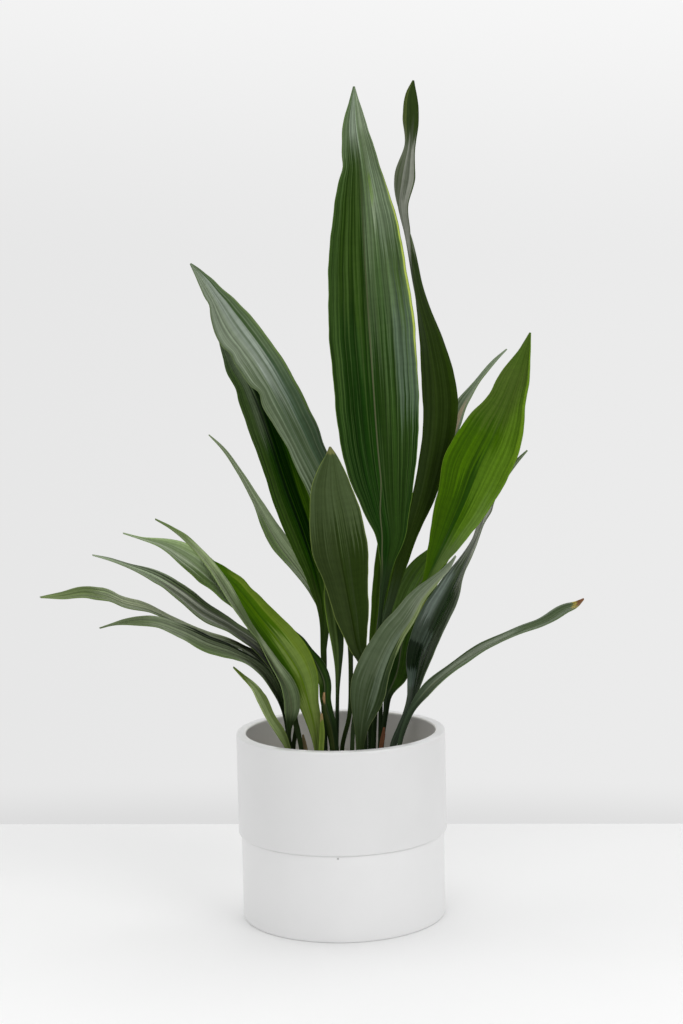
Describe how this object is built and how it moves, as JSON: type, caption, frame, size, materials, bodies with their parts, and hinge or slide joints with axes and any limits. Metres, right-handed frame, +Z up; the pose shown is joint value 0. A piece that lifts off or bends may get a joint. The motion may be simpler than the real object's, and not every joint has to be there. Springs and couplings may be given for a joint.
{
  "type": "potted cast iron plant",
  "caption": "House plant with long upright and arching pleated leaves, growing from soil in a round white glazed pot that stands on its flat base.",
  "frame": {"origin": "centre of the pot's flat underside, on the pot's axis", "axes": "+Z is up along the pot's axis, -Y is the front that faces the viewer, +X is the viewer's right"},
  "size_m": [0.4528, 0.2807, 0.7446],
  "materials": {
    "pot": "smooth white semi-gloss glaze",
    "soil": "dark crumbly potting soil, matt",
    "leaf_mid": "mid green leathery blade with fine lengthwise ribs, satin",
    "leaf_dark": "dark green leathery blade with fine lengthwise ribs, satin",
    "leaf_bright": "yellow-green younger blade with fine lengthwise ribs, satin",
    "leaf_grey": "grey-green leathery blade with pale lengthwise streaks, satin",
    "sheath": "dry papery sheath, matt"
  },
  "bodies": {
    "root": {"pot": "pot", "soil": "soil", "leaf_tall_front": "leaf_mid", "leaf_tall_twisted": "leaf_dark", "leaf_right_bright": "leaf_bright", "leaf_right_sliver": "leaf_grey", "leaf_right_back": "leaf_mid", "leaf_right_dark": "leaf_dark", "leaf_front_right": "leaf_grey", "leaf_left_grey": "leaf_grey", "leaf_left_dark": "leaf_dark", "leaf_front_centre": "leaf_dark", "leaf_small_centre": "leaf_mid", "leaf_small_dark": "leaf_dark", "leaf_left_bright": "leaf_bright", "leaf_right_low": "leaf_grey", "leaf_left_front": "leaf_grey", "leaf_left_second": "leaf_grey", "leaf_left_third": "leaf_grey", "leaf_left_long": "leaf_grey", "leaf_left_low": "leaf_grey", "leaf_front_short": "leaf_bright", "leaf_left_narrow": "leaf_grey", "leaf_back_small": "leaf_mid", "sheath_left": "sheath", "sheath_bright": "sheath", "sheath_centre": "sheath", "sheath_right": "sheath"}
  },
  "joints": []
}
